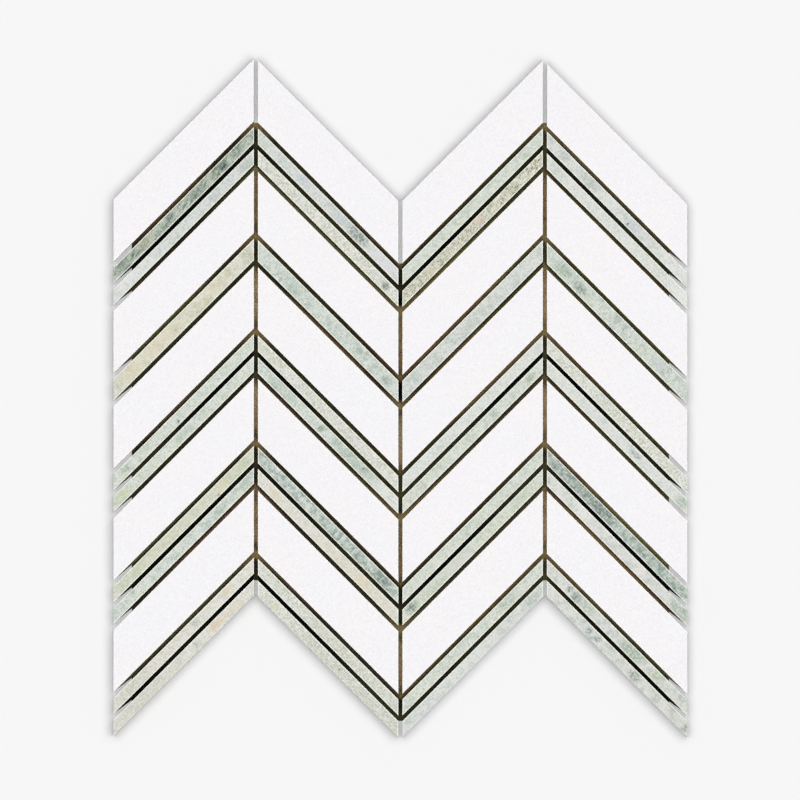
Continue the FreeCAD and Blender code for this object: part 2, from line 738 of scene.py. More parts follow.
# The lot of each strip, column by column, from the top strip down.
STRIP_LOTS: dict[int, tuple[Lot, ...]] = {
    1: (Lot.SPRUCE, Lot.MIST, Lot.CREAM, Lot.SAGE, Lot.SAGE, Lot.FERN, Lot.MINT, Lot.IVORY, Lot.IVORY),
    2: (Lot.MIST, Lot.SAND, Lot.MINT, Lot.SAND, Lot.MINT, Lot.TEAL, Lot.IVORY, Lot.SAND, Lot.SAND),
    3: (Lot.SAGE, Lot.OLIVE, Lot.MIST, Lot.PALE, Lot.SAGE, Lot.SAGE, Lot.FERN, Lot.SAGE, Lot.MIST),
    4: (Lot.MIST, Lot.PALE, Lot.MINT, Lot.SAND, Lot.PALE, Lot.TEAL, Lot.VEINED, Lot.VEINED, Lot.VEINED),
}

INK: Colour = (66, 84, 82)
GLOOM: Colour = (104, 122, 112)
MOSS: Colour = (146, 166, 146)
LEAF: Colour = (190, 200, 160)
SLATE: Colour = (186, 194, 202)
LILAC: Colour = (222, 219, 224)
MILK: Colour = (232, 233, 228)
DUN: Colour = (176, 178, 160)
STRAW: Colour = (212, 200, 160)
TAN: Colour = (220, 206, 176)
RUST: Colour = (222, 188, 144)
BLUSH: Colour = (226, 204, 184)
PIT: Colour = (122, 88, 60)
# The spots of each strip, from the lowest up.
STAINS: dict[str, list[Stain]] = {
    "col1_green_strip_1": [
        Stain(0.78, -0.5, 6.0, 5.0, INK, 1.0), Stain(0.88, 1.0, 9.0, 5.0, GLOOM, 0.7),
        Stain(0.6, 0.0, 12.0, 5.0, GLOOM, 0.7), Stain(0.41, 1.0, 6.0, 4.0, INK, 0.6),
        Stain(0.24, 0.0, 11.0, 5.0, (196, 190, 162), 0.6), Stain(0.08, 0.0, 9.0, 6.0, GLOOM, 0.6),
    ],
    "col1_green_strip_2": [
        Stain(0.94, 0.0, 9.0, 6.0, MOSS, 0.6), Stain(0.16, 0.0, 34.0, 12.0, MILK, 0.7),
    ],
    "col1_wide_green_strip": [
        Stain(0.13, 0.0, 16.0, 8.0, TAN, 0.75), Stain(0.35, 0.5, 22.0, 6.0, TAN, 0.5),
        Stain(0.74, 0.5, 18.0, 6.0, TAN, 0.6),
    ],
    "col1_green_strip_3": [Stain(0.45, -1.4, 1.5, 1.5, INK, 1.0), Stain(0.1, 0.5, 6.0, 4.0, MOSS, 0.7)],
    "col1_green_strip_4": [Stain(0.52, 0.5, 8.0, 4.0, MOSS, 0.5), Stain(0.06, 0.0, 14.0, 8.0, LEAF, 0.7)],
    "col1_green_strip_5": [
        Stain(0.92, 0.0, 9.0, 5.0, LEAF, 0.5), Stain(0.78, 0.5, 7.0, 4.0, TAN, 0.8),
        Stain(0.18, 0.5, 12.0, 6.0, LEAF, 0.45), Stain(0.73, -2.0, 1.8, 1.6, PIT, 1.0),
        Stain(0.5, 0.0, 120.0, 14.0, STRAW, 0.3),
    ],
    "col1_green_strip_6": [
        Stain(0.76, 0.0, 10.0, 5.0, MOSS, 0.5), Stain(0.94, 0.0, 12.0, 8.0, MOSS, 0.4),
    ],
    "col1_green_strip_7": [
        Stain(0.59, 0.5, 5.0, 5.0, MOSS, 0.6), Stain(0.82, 1.0, 8.0, 4.0, TAN, 0.7),
        Stain(0.14, 0.0, 34.0, 12.0, DUN, 0.35),
    ],
    "col1_green_strip_8": [
        Stain(0.86, 0.0, 12.0, 6.0, TAN, 0.5), Stain(0.74, 0.5, 14.0, 5.0, RUST, 0.55),
        Stain(0.59, 0.5, 4.0, 4.0, MOSS, 0.5), Stain(0.22, 0.0, 48.0, 12.0, DUN, 0.3),
    ],
    "col2_green_strip_1": [
        Stain(0.32, 0.5, 10.0, 5.0, SLATE, 0.8), Stain(0.59, 0.0, 12.0, 5.0, SLATE, 0.8),
        Stain(0.9, 0.0, 24.0, 8.0, LILAC, 0.9), Stain(0.71, 0.3, 15.0, 7.0, GLOOM, 0.9),
    ],
    "col2_green_strip_2": [Stain(0.91, 0.0, 5.0, 4.5, GLOOM, 0.9)],
    "col2_wide_green_strip": [
        Stain(0.72, 0.5, 4.0, 4.0, MOSS, 0.9), Stain(0.92, -0.5, 6.0, 5.0, GLOOM, 0.6),
        Stain(0.25, 0.0, 14.0, 8.0, MOSS, 0.4),
    ],
    "col2_green_strip_4": [
        Stain(0.17, 0.0, 22.0, 8.0, MOSS, 0.45), Stain(0.45, -0.3, 3.5, 3.0, (126, 140, 100), 1.0),
        Stain(0.56, 1.0, 7.0, 4.0, MOSS, 0.7), Stain(0.7, 0.0, 24.0, 8.0, MOSS, 0.45),
        Stain(0.75, 0.8, 3.0, 2.5, GLOOM, 0.9), Stain(0.93, 0.0, 18.0, 10.0, MILK, 0.8),
    ],
    "col2_green_strip_5": [
        Stain(0.72, 0.0, 10.0, 6.0, GLOOM, 0.4), Stain(0.88, 0.0, 12.0, 6.0, GLOOM, 0.9),
    ],
    "col2_green_strip_6": [
        Stain(0.13, 0.0, 8.0, 5.0, TAN, 0.7), Stain(0.74, 0.5, 8.0, 5.0, TAN, 0.8),
        Stain(0.7, 0.0, 70.0, 12.0, STRAW, 0.3),
    ],
    "col2_green_strip_7": [Stain(0.8, 0.0, 110.0, 14.0, DUN, 0.28)],
    "col2_green_strip_8": [
        Stain(0.7, 0.0, 120.0, 14.0, DUN, 0.28), Stain(0.13, -0.8, 3.5, 3.0, (222, 208, 160), 1.0),
        Stain(0.58, 0.3, 1.8, 1.6, PIT, 1.0),
    ],
    "col3_green_strip_1": [Stain(0.87, -0.5, 3.0, 3.0, MOSS, 0.7)],
    "col3_green_strip_2": [
        Stain(0.55, 0.8, 7.0, 4.5, BLUSH, 1.0), Stain(0.2, 0.0, 6.0, 5.0, TAN, 0.8),
        Stain(0.2, 0.0, 110.0, 14.0, DUN, 0.3),
    ],
    "col3_green_strip_4": [Stain(0.91, 0.0, 7.0, 4.0, MOSS, 0.8), Stain(0.65, 0.5, 5.0, 4.0, MOSS, 0.6)],
    "col3_green_strip_6": [
        Stain(0.07, 0.0, 8.0, 5.5, GLOOM, 0.9), Stain(0.4, 0.0, 24.0, 7.0, (214, 212, 210), 0.8),
    ],
    "col3_green_strip_7": [Stain(0.75, 0.0, 16.0, 8.0, MOSS, 0.5)],
    "col3_green_strip_8": [
        Stain(0.92, 0.0, 10.0, 6.0, MOSS, 0.6), Stain(0.5, 0.0, 40.0, 12.0, MILK, 0.4),
    ],
    "col4_green_strip_1": [
        Stain(0.12, 0.5, 8.0, 5.0, MOSS, 0.5), Stain(0.3, 0.5, 16.0, 6.0, MOSS, 0.5),
        Stain(0.62, 0.0, 10.0, 6.0, SLATE, 0.6), Stain(0.59, -1.4, 1.8, 1.8, INK, 1.0),
        Stain(0.44, 0.0, 12.0, 8.0, MILK, 0.7), Stain(0.9, 0.0, 34.0, 12.0, MILK, 0.7),
    ],
    "col4_green_strip_2": [
        Stain(0.07, 0.0, 14.0, 8.0, MOSS, 0.3), Stain(0.96, 0.0, 16.0, 10.0, MILK, 0.9),
    ],
    "col4_wide_green_strip": [
        Stain(0.12, 0.0, 12.0, 7.0, MOSS, 0.8), Stain(0.24, -0.5, 8.0, 5.0, GLOOM, 0.8),
        Stain(0.79, 0.5, 9.0, 5.0, SLATE, 0.7),
    ],
    "col4_green_strip_4": [Stain(0.63, 0.3, 8.0, 3.0, GLOOM, 0.7), Stain(0.96, 0.0, 9.0, 7.0, MOSS, 0.7)],
    "col4_green_strip_5": [
        Stain(0.22, 0.0, 48.0, 10.0, GLOOM, 0.65), Stain(0.4, 0.0, 18.0, 8.0, GLOOM, 0.85),
        Stain(0.75, 0.0, 50.0, 12.0, GLOOM, 0.35),
    ],
    "col4_green_strip_6": [
        Stain(0.66, 0.0, 12.0, 6.0, (230, 224, 220), 1.0), Stain(0.25, 0.0, 16.0, 8.0, MILK, 0.8),
        Stain(0.95, 0.0, 18.0, 9.0, MOSS, 0.8),
    ],
    "col4_green_strip_7": [
        Stain(0.16, 0.3, 3.5, 4.0, INK, 0.8), Stain(0.21, -0.3, 6.0, 5.0, GLOOM, 0.9),
        Stain(0.6, 0.0, 18.0, 7.0, MOSS, 0.9), Stain(0.77, 0.0, 6.0, 5.0, LEAF, 0.8),
        Stain(0.27, 0.0, 16.0, 8.0, MOSS, 0.6), Stain(0.78, 0.0, 12.0, 8.0, MOSS, 0.4),
    ],
    "col4_green_strip_8": [
        Stain(0.3, 0.0, 4.0, 4.0, (128, 142, 146), 0.9), Stain(0.36, 0.0, 4.0, 4.0, (128, 142, 146), 0.8),
        Stain(0.62, 0.0, 9.0, 5.0, GLOOM, 0.7), Stain(0.99, 0.0, 4.0, 6.0, GLOOM, 0.7),
        Stain(0.92, 0.0, 14.0, 8.0, MOSS, 0.3),
    ],
}


class Edge(Enum):
    """The edges of a stone, in the order of its corners."""

    LOWER = 0
    RIGHT = 1
    UPPER = 2
    LEFT = 3


@dataclass
class Stone:
    """One sawn and honed stone, remade where its CAD node lies."""

    node: str
    slot: str
    number: int
    outer: frozenset[Edge] = frozenset()  # edges on the outline of the sheet
    # Share of the painted highlight on eased edges along the outline of the sheet.
    outer_highlight: float = 0.15
    slab_step: float = 37.0 * MM
    arris: float = 0.45 * MM
    arris_fall: float = 0.35
    arris_steps: int = 3
    edge_step: float = 1.6 * MM
    wander: float = 0.15 * MM
    wander_length: float = 9.0 * MM
    chip_spacing: float = 30.0 * MM
    chip_rim: float = 0.9  # share of the eased edge that a chip takes in
    chip_reach: Range = (0.9 * MM, 1.8 * MM)
    chip_depth: float = 0.3 * MM
    hair: float = 0.01  # share of the arris that counts as nothing
    upright: float = 0.05  # a face that looks up no more than this is a sawn side

    def corners(self) -> list[Point]:
        """Corners of the stone on the sheet, read from the frame.

        Returns:
            The corners anticlockwise, from the lower left.
        """
        low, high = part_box(self.node)
        places = [vertex.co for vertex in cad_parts[self.node].data.vertices]
        lowest = min(places, key=lambda place: place.y)
        rising = lowest.x < (low.x + high.x) / 2.0
        rise = CLIMB * (high.x - low.x)
        end = high.y - low.y - rise
        left = low.y if rising else low.y + rise
        right = low.y + rise if rising else low.y
        return [(low.x, left), (high.x, right), (high.x, right + end), (low.x, left + end)]

    def placing(self) -> Placing:
        """Where the stone lies, for its patterns.

        Returns:
            Its middle, the turn and length of its slant, and a depth in the slab of its own.
        """
        low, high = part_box(self.node)
        start, end = (Vector(corner) for corner in self.corners()[:2])
        middle = (low + high) / 2.0
        slant = end - start
        depth = self.slab_step * self.number
        return Placing((middle.x, middle.y, high.z), math.atan2(slant.y, slant.x), slant.length, depth)

    def build(self) -> bpy.types.Object:
        """Model the stone and put it in place of its CAD node.

        Returns:
            The stone's object.
        """
        low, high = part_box(self.node)
        mesh = bmesh.new()
        mesh.faces.new([mesh.verts.new((x, y, low.z)) for x, y in self.corners()])
        for edge in mesh.edges[:]:
            cuts = int(edge.calc_length() / self.edge_step)
            if cuts:
                bmesh.ops.subdivide_edges(mesh, edges=[edge], cuts=cuts)
        rim = raised(mesh, high.z - low.z)
        bmesh.ops.recalc_face_normals(mesh, faces=mesh.faces[:])
        self._ease(mesh, rim, high.z)
        self._chip(mesh, high.z)
        self._mark(mesh, high.z)
        piece = finished(mesh, f"{self.node}_stone")
        stand_in(piece, self.node)
        return piece

    def _ease(self, mesh: bmesh.types.BMesh, rim: list[bmesh.types.BMVert], top: float) -> None:
        """Let the polished face's outline waver by a hair, and ease its edges to a shallow slope.

        Args:
            mesh: The sharp blank.
            rim: Points of that outline.
            top: Height of the polished face.
        """
        mesh.normal_update()
        for point in rim:
            outward = Vector((point.normal.x, point.normal.y, 0.0)).normalized()
            sway = noise.noise(point.co / self.wander_length)
            point.co -= outward * self.wander * (0.5 + 0.5 * sway)
        corners = set(rim)
        edges = [edge for edge in mesh.edges if corners.issuperset(edge.verts)]
        bmesh.ops.bevel(
            mesh,
            geom=edges,
            offset=self.arris,
            segments=self.arris_steps,
            profile=0.5,
            affect="EDGES",
            material=-1,
        )
        for point in mesh.verts:
            depth = top - point.co.z
            if depth < 2.0 * self.arris:
                point.co.z = top - self.arris_fall * depth

    def _chip(self, mesh: bmesh.types.BMesh, top: float) -> None:
        """Break a few small chips out of the eased edges, and leave the polished face flat.

        Args:
            mesh: The eased stone.
            top: Height of the polished face.
        """
        mesh.normal_update()
        draw = random.Random(self.node)
        foot = self.arris_fall * self.arris
        rim = [point for point in mesh.verts if top - point.co.z < self.chip_rim * foot]
        count = int(2.0 * self.placing().run / self.chip_spacing)
        for seat in draw.sample(rim, count):
            centre = seat.co.copy()
            inward = -Vector((seat.normal.x, seat.normal.y, 0.0)).normalized()
            reach = draw.uniform(*self.chip_reach)
            depth = self.chip_depth * draw.random()
            for point in rim:
                share = (point.co - centre).length / reach
                if share < 1.0:
                    point.co += inward * depth * (1.0 - share * share)

    def _mark(self, mesh: bmesh.types.BMesh, top: float) -> None:
        """Note on the mesh where the eased edges and the sawn faces are.

        Args:
            mesh: The eased stone.
            top: Height of the polished face.
        """
        mesh.normal_update()
        arris = mesh.verts.layers.float.new("arris")
        sawn = mesh.faces.layers.float.new("sawn")
        hair = self.hair * self.arris
        foot = self.arris_fall * self.arris
        corners = [Vector((*corner, top)) for corner in self.corners()]
        for vertex in mesh.verts:
            eased = hair < top - vertex.co.z < foot - hair
            vertex[arris] = self._edge_highlight(vertex.co, corners) if eased else 0.0
        for face in mesh.faces:
            face[sawn] = 1.0 if face.normal.z < self.upright else 0.0

    def _edge_highlight(self, place: Vector, corners: list[Vector]) -> float:
        """How pale an eased edge is, partly as a painted highlight: fully in the joints, and hardly on the
        outline of the sheet.

        Args:
            place: A point of the edge.
            corners: Corners of the polished face.

        Returns:
            The share of the pale colour.
        """
        away = {}
        for edge, start, end in zip(Edge, corners, corners[1:] + corners[:1], strict=True):
            nearest, _ = geometry.intersect_point_line(place, start, end)
            away[edge] = (place - nearest).length
        return self.outer_highlight if min(away, key=away.get) in self.outer else 1.0


@dataclass
class StoneColumn:
    """One column of the sheet: white bars between bands of green strips."""

    number: int
    white: WhiteMarble

    def bars(self) -> list[Stone]:
        """The column's white bars.

        Returns:
            The bars, from the top down.
        """
        names = [f"col{self.number}_white_bar_{rank}" for rank in range(1, WHITE_BARS + 1)]
        bars = self._stones(names, "white_marble", 1)
        bars[0].outer |= {Edge.UPPER}
        return bars

    def strips(self) -> list[Stone]:
        """The column's green strips.

        Returns:
            The strips, from the top down.
        """
        names = [f"col{self.number}_green_strip_{rank}" for rank in range(1, NARROW_STRIPS + 1)]
        names.insert(STRIPS_ABOVE_WIDE, f"col{self.number}_wide_green_strip")
        strips = self._stones(names, "green_marble", WHITE_BARS + 1)
        strips[-1].outer |= {Edge.LOWER}
        return strips

    def _stones(self, names: list[str], slot: str, first: int) -> list[Stone]:
        """Stones of one marble, which know their ends on the outline of the sheet.

        Args:
            names: Names of their nodes.
            slot: Name of a slot that the stones carry; nothing reads it.
            first: Number of the first of them in the column.

        Returns:
            The stones, in the order of their names.
        """
        sides = {COLUMNS[0]: Edge.LEFT, COLUMNS[-1]: Edge.RIGHT}
        ends = frozenset({sides[self.number]} if self.number in sides else ())
        first += NUMBERS_TO_A_COLUMN * self.number
        return [Stone(name, slot, number, ends) for number, name in enumerate(names, first)]

    def build(self) -> None:
        """Model and dress every stone of the column."""
        for stone in self.bars():
            piece = stone.build()
            piece.data.materials.append(self.white.material(f"{stone.node}_marble", stone.placing()))
            LOG.info("%s: white marble, %d faces", piece.name, len(piece.data.polygons))
        for stone, lot in zip(self.strips(), STRIP_LOTS[self.number], strict=True):
            piece = stone.build()
            stains = STAINS.get(stone.node, [])
            marble = lot.value.material(f"{stone.node}_marble", stone.placing(), stains)
            piece.data.materials.append(marble)
            LOG.info("%s: %s marble, %d faces", piece.name, lot.name.lower(), len(piece.data.polygons))


@dataclass(frozen=True)
class CourseMap:
    """How the courses of stone lie over the backing, for the colour of the joints between them."""

    peak: float
    pitch: float
    joint: float
    # Of each column, its left end, and its lower and upper edge where they would meet a peak.
    feet: tuple[tuple[float, float, float], ...]
    # Lower and upper edge of each white bar, as shares of a column's height.
    bars: tuple[Range, ...]

    def share(self, graph: Graph, x: Socket, y: Socket) -> Socket:
        """How far up its column a place lies, measured along the courses.

        Args:
            graph: The material's graph.
            x: Place across the sheet.
            y: Place up the sheet.

        Returns:
            Socket of the share, from 0 at the column's lower edge to 1 at its upper one.
        """
        fall = graph.maths("PINGPONG", graph.minus(x, self.peak), self.pitch)
        up = graph.plus(y, graph.times(fall, CLIMB))
        ends: list[Feed] = list(self.feet[0][1:])
        for before, (start, *edges) in zip(self.feet, self.feet[1:]):
            past = graph.maths("GREATER_THAN", x, start)
            for rank, edge in enumerate(edges):
                ends[rank] = graph.plus(ends[rank], graph.times(past, edge - before[rank + 1]))
        bottom, top = ends
        return graph.maths("DIVIDE", graph.minus(up, bottom), graph.minus(top, bottom))

    def covered(self, graph: Graph, place: Socket) -> tuple[Socket, Socket]:
        """Masks of the ground that the sheet covers.

        Args:
            graph: The material's graph.
            place: Where on the ground.

        Returns:
            Sockets of two masks: of all the covered ground, and of what lies past the film's sides.
        """
        x, y, _ = graph.add("ShaderNodeSeparateXYZ", {0: place}).outputs
        feeds = {0: self.share(graph, x, y), 1: MIDDLE, 2: MIDDLE}
        within = graph.add("ShaderNodeMath", feeds, operation="COMPARE").outputs[0]
        side = graph.maths("ABSOLUTE", x)
        covered = graph.times(within, graph.maths("LESS_THAN", side, CAD_BOX[1].x))
        return covered, graph.maths("GREATER_THAN", side, -self.feet[0][0])

    def height(self) -> float:
        """Breadth of the first column, square across its courses."""
        return (self.feet[0][2] - self.feet[0][1]) * UP_TO_ACROSS

    def uprights(self, graph: Graph, x: Socket, reach: float, strength: float) -> Sockets:
        """Masks of the upright joints.

        Args:
            graph: The material's graph.
            x: Place across the sheet.
            reach: How far the surroundings of a joint go.
            strength: How strong the joints are at the peaks, from where they fade to the valleys.

        Returns:
            Joint, the joints themselves; Near, their surroundings; and Way, which way their resin
            gathers: down by the peaks, as -1, and up by the valleys, as 1.
        """
        past = graph.minus(x, self.peak)
        away = graph.maths("PINGPONG", past, self.pitch / 2.0)
        from_peak = graph.maths("PINGPONG", past, self.pitch)
        valley = graph.maths("GREATER_THAN", from_peak, self.pitch / 2.0)
        core, rim = 0.4 * self.joint, 0.8 * self.joint
        fading = graph.ramp(from_peak, self.pitch, 0.0, 0.0, strength)
        return {
            "Joint": graph.times(graph.ramp(away, rim, core), fading),
            "Near": graph.ramp(away, reach, core),
            "Way": graph.minus(graph.times(valley, 2.0), 1.0),
        }


@dataclass(frozen=True)
class BrownResin:
    """Brown resin that fills the net, darker where the joints run between green strips: painted shade there,
    and painted light beside the white bars, which light their joints.
    """

    brown: Colour = (180, 150, 104)
    dry_brown: Colour = (212, 184, 140)
    pooled: Colour = (158, 136, 94)
    olive: Colour = (178, 170, 106)
    umber: Colour = (186, 150, 104)
    dusk: Colour = (70, 58, 36)
    shade: Colour = (84, 82, 50)
    dark: Colour = (14, 15, 7)
    upright: Colour = (68, 64, 40)
    # Painted light: the upright joints' colour towards the right of the sheet, where more light fell.
    upright_lit_rightward: Colour = (98, 92, 64)
    under: Colour = (132, 104, 74)
    under_shade: Colour = (122, 106, 62)
    thread: Colour = (186, 166, 128)
    thread_shade: Colour = (158, 138, 100)
    gloss: float = 0.12
    mottles_per_metre: float = 260.0
    mottling: Spread = (0.4, 0.8, 0.0, 0.4)
    shading: Range = (0.3, 0.7)
    rough_mottle: Spread = (0.2, 0.8, 0.55, 0.8)
    spread: float = 6.0 * MM
    pool: float = 11.0 * MM
    browns_per_metre: float = 16.0
    browning: Range = (0.4, 0.6)
    lane_length: float = 5.0  # how many times longer a tone holds along a joint than across the joints
    lanes_per_metre: float = 60.0
    lane_light: Spread = (0.42, 0.62, 0.0, 0.6)
    lane_shade: Range = (0.6, 0.35)
    hues_per_metre: float = 42.0
    hue_change: Range = (0.42, 0.58)
    # Painted light: the joints are painted lighter towards the right of the sheet across this span, where
    # more light fell.
    rightward_light_span: Range = (-120.0 * MM, 150.0 * MM)
    rightward_light: float = 0.45
    upright_strength: float = 0.8
    # In widths of a joint.
    flow: float = 0.9
    shore: float = 0.6
    pool_edge: Range = (1.4, 0.4)

    def material(self, name: str, courses: CourseMap) -> bpy.types.Material:
        """Make the finish for the backing.

        Args:
            name: Name of the material.
            courses: How the stones lie over it.

        Returns:
            The material.
        """
        material, graph = new_material(name)
        place = graph.place()
        mottle = graph.noise(place, self.mottles_per_metre, detail=3.0)
        floor = self._floor(graph, place, courses)
        floor = graph.blend(graph.ramp(mottle, *self.mottling), floor, self.dark)
        shaded = graph.ramp(mottle, *self.shading)
        under = graph.blend(shaded, self.under, self.under_shade)
        thread = graph.blend(shaded, self.thread, self.thread_shade)
        colour = graph.glaze(under, (graph.attribute("thread"), thread), (graph.attribute("upper"), floor))
        rough = graph.ramp(mottle, *self.rough_mottle)
        feeds = {"Base Color": colour, "Roughness": rough, "Specular IOR Level": self.gloss}
        graph.feed(graph.tree.nodes["Principled BSDF"], feeds)
        return material

    def _floor(self, graph: Graph, place: Socket, courses: CourseMap) -> Socket:
        """Colour of the joints' floor: dark between green strips, brown between white bars. The resin is
        brown; the near black between green strips is painted shade, and the lighter tones beside and between
        the white bars and towards the sheet's right are painted light.

        Args:
            graph: The material's graph.
            place: Where on the backing.
            courses: How the stones lie over it.

        Returns:
            The colour's socket.
        """
        x, y, _ = graph.add("ShaderNodeSeparateXYZ", {0: place}).outputs
        across = graph.times(courses.share(graph, x, y), courses.height())
        along = graph.maths("DIVIDE", x, self.lane_length)
        lane = graph.add("ShaderNodeCombineXYZ", {0: along, 1: across}).outputs[0]
        drift = graph.noise(lane, self.lanes_per_metre, detail=1.0)
        hue = graph.ramp(graph.noise(lane, self.hues_per_metre, detail=1.0), *self.hue_change)
        # Painted light: a ramp across the sheet that lightens the joints towards its right.
        lit_rightward = graph.ramp(x, *self.rightward_light_span)
        lighter = graph.plus(graph.ramp(drift, *self.lane_light), graph.times(lit_rightward, self.rightward_light))
        # Painted light: the lighter band of the joints beside the white bars, which light it.
        beside = graph.blend(lighter, self.dusk, graph.blend(hue, self.umber, self.olive))
        drier = graph.ramp(graph.noise(place, self.browns_per_metre, detail=1.0), *self.browning)
        brown = graph.blend(drier, self.brown, self.dry_brown)
        uprights = courses.uprights(graph, x, self.pool, self.upright_strength)
        colour = graph.glaze(
            self.dark,
            (graph.ramp(drift, *self.lane_shade), self.shade),
            (uprights["Joint"], graph.blend(lit_rightward, self.upright, self.upright_lit_rightward)),
        )
        flow = graph.times(lighter, self.flow * courses.joint)
        pool_edge = [width * courses.joint for width in self.pool_edge]
        for low, high in courses.bars:
            middle = (low + high) / 2.0 * courses.height()
            half = (high - low) / 2.0 * courses.height()
            above = graph.minus(across, middle)
            away = graph.maths("ABSOLUTE", above)
            shore = graph.plus(flow, half + self.shore * courses.joint)
            crossing = graph.minus(graph.times(above, uprights["Way"]), half + courses.joint / 2.0)
            pool = graph.ramp(graph.maths("ABSOLUTE", crossing), *pool_edge)
            # Painted light: the joints are lighter beside and between the white bars, and pooled resin lies
            # by the upright joints.
            colour = graph.glaze(
                colour,
                (graph.ramp(away, shore, half), beside),
                (graph.ramp(away, half, half - self.spread), brown),
                (graph.times(pool, uprights["Near"]), self.pooled),
            )
        return colour


@dataclass
class MeshBacking:
    """The net that carries the stones: a film of resin with threads standing proud of both its faces."""

    resin: BrownResin
    node: str = "mesh_backing"
    slot: str = "mesh_backing"
    film: Range = (0.28 * MM, 0.52 * MM)
    upward: float = 0.1  # a face that looks up more than this is seen from above
    threads_to_a_column: int = 37
    thread_width: float = 0.9 * MM
    thread_sides: int = 6
    weft: Range = (0.15 * MM, 0.79 * MM)
    warp: Range = (0.0, 0.66 * MM)
    run_on_chance: float = 0.85
    run_on_reach: Range = (0.7, 1.0)
    run_on_breadth: Range = (1.2 * MM, 2.2 * MM)

    def __post_init__(self) -> None:
        """Read the setting out of the sheet from the frame."""
        ends = [(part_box(f"col{n}_white_bar_1"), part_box(f"col{n + 1}_white_bar_1")) for n in COLUMNS[:-1]]
        self.joints = [(left[1].x + right[0].x) / 2.0 for left, right in ends]
        self.half_joint = (ends[0][1][0].x - ends[0][0][1].x) / 2.0
        self.pitch = self.joints[1] - self.joints[0]
        low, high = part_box(self.node)
        self.reach = high.x
        self.top_peak = high.y + CLIMB * self.half_joint
        self.bottom_peak = low.y + CLIMB * (self.pitch - self.half_joint)
        first_bar, last_strip = "col2_white_bar_1", f"col2_green_strip_{NARROW_STRIPS}"
        self.slit_top = {joint: self._corner(first_bar, joint, lower=True) for joint in self.joints}
        self.slit_bottom = {joint: self._corner(last_strip, joint, lower=False) for joint in self.joints}

    def fall(self, x: float) -> float:
        """How far a chevron line has come down at x from its peaks."""
        past = (x - self.joints[0]) % (2.0 * self.pitch)
        return CLIMB * min(past, 2.0 * self.pitch - past)

    def _corner(self, stone: str, joint: float, lower: bool) -> float:
        """Where a slit ends: at the corner of the end stones beside it.

        Args:
            stone: Name of an end stone of the second column.
            joint: Middle of the upright joint.
            lower: True for the stone's lower edge, False for its upper edge.

        Returns:
            Height of that corner on the sheet.
        """
        return self._edge_at_peak(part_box(stone), lower) - self.fall(joint + self.half_joint)

    def _edge_at_peak(self, box: tuple[Vector, Vector], lower: bool) -> float:
        """Where a stone's long edge would meet the upright joint at its upper end.

        Args:
            box: The stone's lowest and highest corners.
            lower: True for its lower edge, False for its upper edge.

        Returns:
            The height of that place on the sheet.
        """
        low, high = box
        at_corner = low.y + CLIMB * (high.x - low.x) if lower else high.y
        return at_corner + CLIMB * self.half_joint

    def outline(self) -> list[Point]:
        """Outline of the film, with a slit at each end of every upright joint.

        Returns:
            The corners anticlockwise, from the lower left.
        """
        bottom = self._chevron(self.bottom_peak, self.slit_bottom)
        top = self._chevron(self.top_peak, self.slit_top)
        left_edge = self._run_on(COLUMNS[0], -self.reach)
        right_edge = self._run_on(COLUMNS[-1], self.reach)
        return bottom + right_edge[::-1] + top[::-1] + left_edge

    def _chevron(self, peak: float, slits: dict[float, float]) -> list[Point]:
        """The film's lower or upper edge.

        Args:
            peak: Height of its peaks.
            slits: Where the slit at each upright joint ends.

        Returns:
            The corners from left to right.
        """
        corners = [(-self.reach, peak - self.fall(-self.reach))]
        for joint, end in slits.items():
            left, right = joint - self.half_joint, joint + self.half_joint
            corners += [(left, peak - self.fall(left)), (left, end)]
            corners += [(right, end), (right, peak - self.fall(right))]
        return [*corners, (self.reach, peak - self.fall(self.reach))]

    def _run_on(self, column: int, edge: float) -> list[Point]:
        """Where resin has run on past the film's edge, in points along the upper side of the joints.

        Args:
            column: Number of the outer column.
            edge: Where the film ends, across the sheet.

        Returns:
            The corners along that edge, from the top down.
        """
        names = [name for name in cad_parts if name.startswith(f"col{column}_")]
        names.sort(key=lambda name: -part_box(name)[1].y)
        corners: list[Point] = []
        for name in names[:-1]:
            draw = random.Random(name)
            foot = self._edge_at_peak(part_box(name), lower=True)
            tip = edge + (math.copysign(CAD_BOX[1].x, edge) - edge) * draw.uniform(*self.run_on_reach)
            breadth = draw.uniform(*self.run_on_breadth)
            if draw.random() < self.run_on_chance:
                corners += [(edge, foot - self.fall(edge)), (tip, foot - self.fall(tip))]
                corners.append((edge, foot - self.fall(edge) - breadth))
        return corners

    def build(self) -> bpy.types.Object:
        """Model and dress the backing.

        Returns:
            The backing's object.
        """
        mesh = bmesh.new()
        low, high = self.film
        mesh.faces.new([mesh.verts.new((x, y, low)) for x, y in self.outline()])
        raised(mesh, high - low)
        self._weave(mesh)
        bmesh.ops.recalc_face_normals(mesh, faces=mesh.faces[:])
        upper = mesh.faces.layers.float.new("upper")
        thread = mesh.faces.layers.float.new("thread")
        for face in mesh.faces:
            face[upper] = 1.0 if face.normal.z > self.upward else 0.0
            face[thread] = 1.0 if face.calc_center_median().z < low else 0.0
        piece = finished(mesh, "mesh_backing_net")
        piece.data.materials.append(self.resin.material("brown_resin_net", self.courses()))
        stand_in(piece, self.node)
        LOG.info("%s: threads in brown resin, %d faces", piece.name, len(piece.data.polygons))
        return piece

